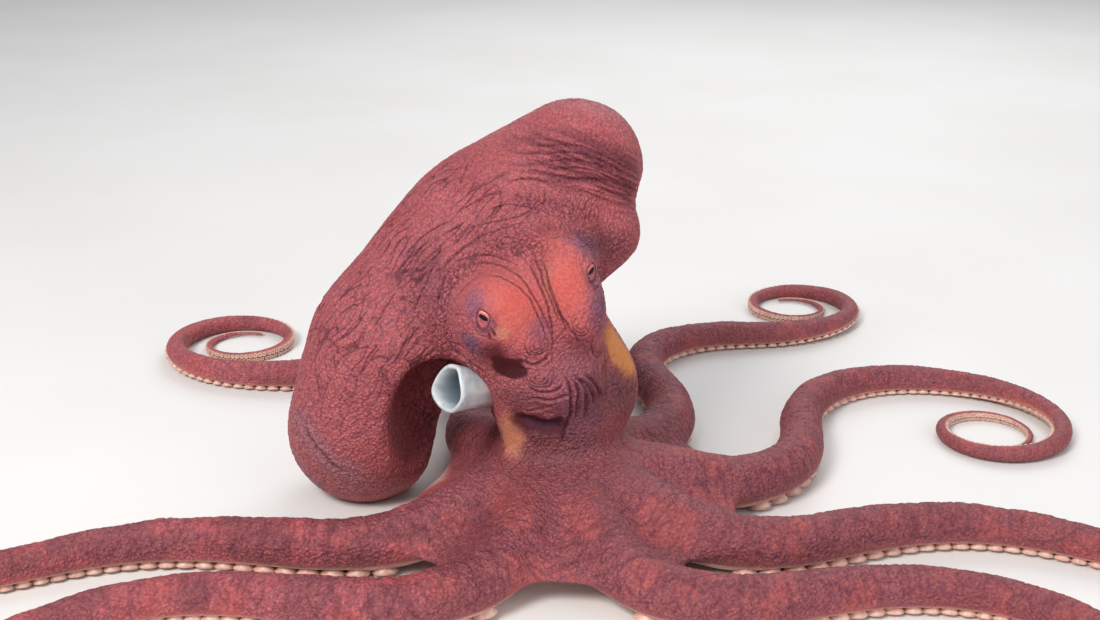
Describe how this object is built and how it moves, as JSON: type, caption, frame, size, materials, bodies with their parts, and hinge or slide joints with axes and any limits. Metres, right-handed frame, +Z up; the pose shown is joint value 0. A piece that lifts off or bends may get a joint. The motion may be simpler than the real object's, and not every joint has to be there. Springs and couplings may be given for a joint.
{
  "type": "octopus",
  "caption": "Life-size day octopus at rest, head leaning forward over its crown of arms, mantle sagging to one side, funnel open under the mantle's arch.",
  "frame": {"origin": "on the floor, on the flat ring round the mouth, behind the centre of the crown of arms", "axes": "+Z up from the floor; the animal's front faces -Y, its left side is at +X and its right side at -X"},
  "size_m": [0.5635, 0.4675, 0.1547],
  "materials": {
    "mantle_skin": "satin, wet skin",
    "head_skin": "satin, wet skin",
    "arm_skin": "satin, wet skin",
    "funnel_skin": "satin, wet skin",
    "eyeball": "gloss"
  },
  "bodies": {
    "root": {"mantle": "mantle_skin", "head": "head_skin", "web": "arm_skin", "funnel": "funnel_skin", "eye_left": "eyeball", "eye_right": "eyeball", "arm_left_1_base": "arm_skin", "arm_left_1_middle": "arm_skin", "arm_left_1_tip": "arm_skin", "arm_left_2_base": "arm_skin", "arm_left_2_middle": "arm_skin", "arm_left_2_tip": "arm_skin", "arm_left_3_base": "arm_skin", "arm_left_3_middle": "arm_skin", "arm_left_3_tip": "arm_skin", "arm_left_4_base": "arm_skin", "arm_left_4_middle": "arm_skin", "arm_left_4_tip": "arm_skin", "arm_right_1_base": "arm_skin", "arm_right_1_middle": "arm_skin", "arm_right_1_tip": "arm_skin", "arm_right_2_base": "arm_skin", "arm_right_2_middle": "arm_skin", "arm_right_2_tip": "arm_skin", "arm_right_3_base": "arm_skin", "arm_right_3_middle": "arm_skin", "arm_right_3_tip": "arm_skin", "arm_right_4_base": "arm_skin", "arm_right_4_middle": "arm_skin", "arm_right_4_tip": "arm_skin"}
  },
  "joints": []
}
